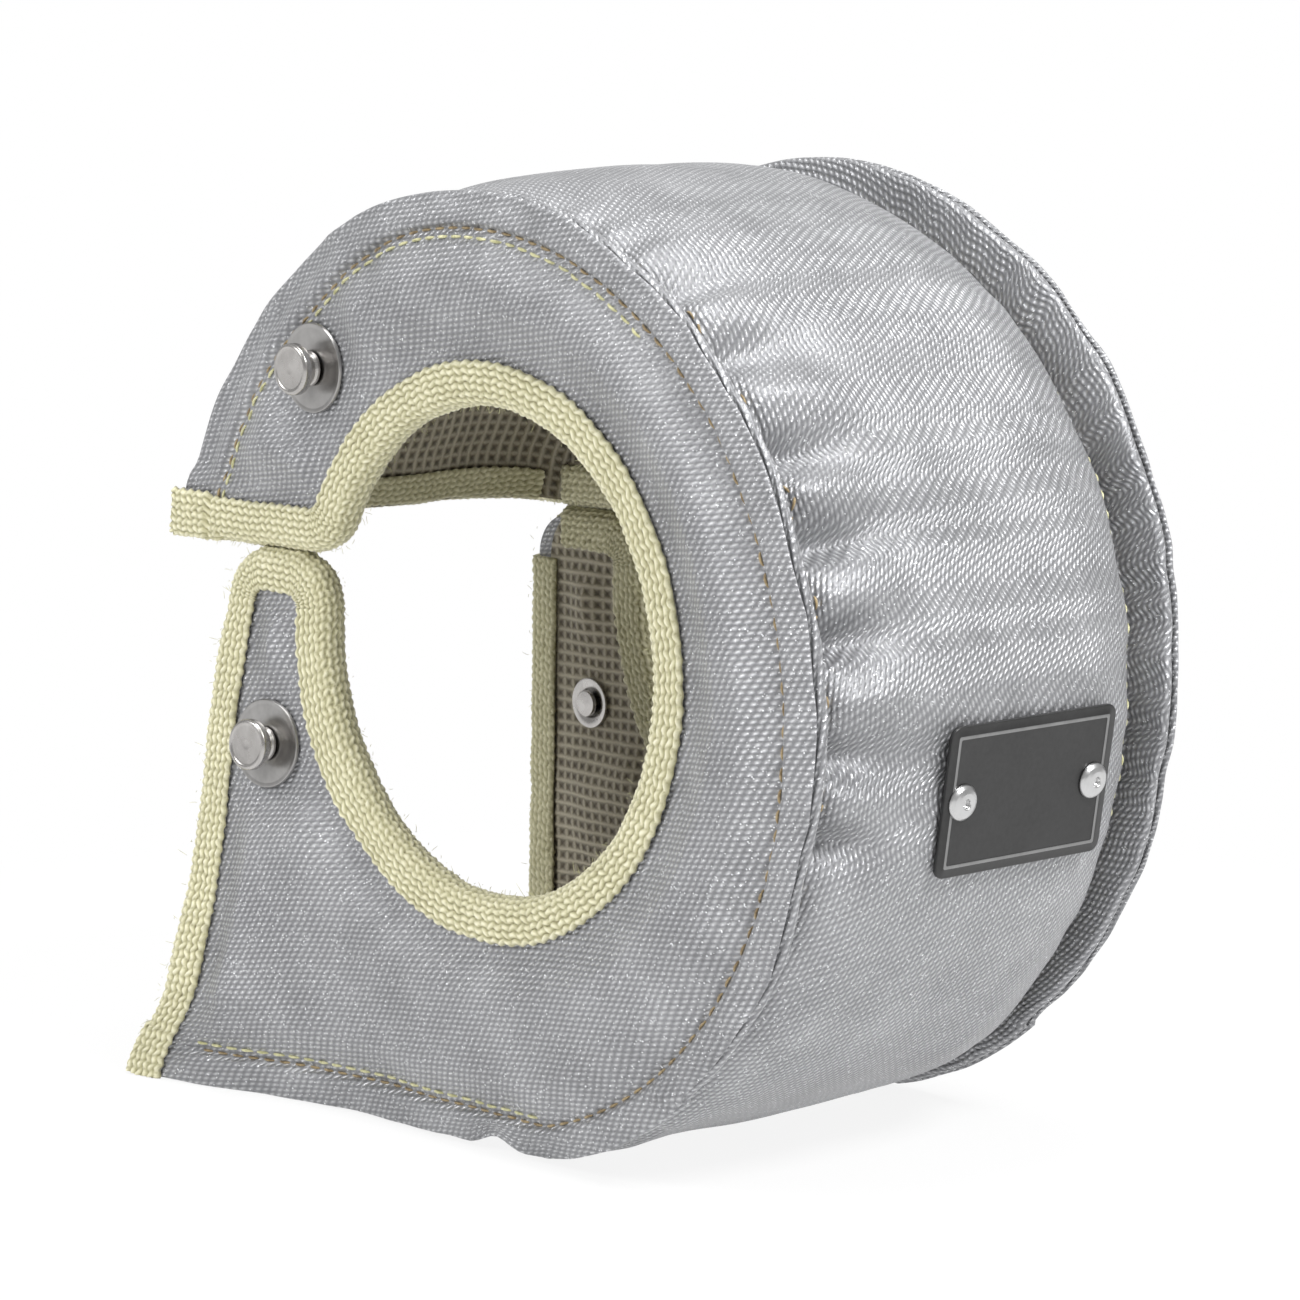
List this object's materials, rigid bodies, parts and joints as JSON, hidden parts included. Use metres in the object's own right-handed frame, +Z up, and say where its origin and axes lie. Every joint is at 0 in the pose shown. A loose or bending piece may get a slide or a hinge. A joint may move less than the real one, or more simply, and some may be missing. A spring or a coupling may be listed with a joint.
{
  "type": "turbo heat blanket",
  "caption": "Padded silver cloth drum with bound centre holes, a side mouth, lacing anchors and a bare name plate, made to wrap a turbine housing.",
  "frame": {"origin": "on the floor under the middle of the blanket's box, below the drum's axis", "axes": "+Y along the drum's axis from the front panel to the rear panel, +X away from the mouth, +Z up"},
  "size_m": [0.2142, 0.13, 0.2079],
  "materials": {
    "cover": "silver-grey silicone-coated glass cloth with a soft sheen",
    "lining": "dark brown-grey coarse woven high-temperature cloth",
    "insulation": "matt off-white glass-fibre needle mat",
    "tape": "matt pale yellow-green coarse woven tape with fuzzy edges",
    "steel": "brushed stainless steel",
    "plate": "satin black anodised sheet, bare",
    "rivet": "bright aluminium"
  },
  "bodies": {
    "root": {"front_cover": "cover", "front_insulation": "insulation", "front_lining": "lining", "front_binding": "tape", "front_upper_anchor_washer": "steel", "front_upper_anchor_capstan": "steel", "front_upper_anchor_retaining_washer": "steel", "front_lower_anchor_washer": "steel", "front_lower_anchor_capstan": "steel", "front_lower_anchor_retaining_washer": "steel", "rear_cover": "cover", "rear_insulation": "insulation", "rear_lining": "lining", "rear_binding": "tape", "rear_upper_anchor_washer": "steel", "rear_upper_anchor_capstan": "steel", "rear_upper_anchor_retaining_washer": "steel", "rear_lower_anchor_washer": "steel", "rear_lower_anchor_capstan": "steel", "rear_lower_anchor_retaining_washer": "steel", "band_cover": "cover", "band_insulation": "insulation", "band_lining": "lining", "mouth_upper_binding": "tape", "mouth_lower_binding": "tape", "name_plate": "plate", "name_plate_front_rivet": "rivet", "name_plate_rear_rivet": "rivet"}
  },
  "joints": []
}
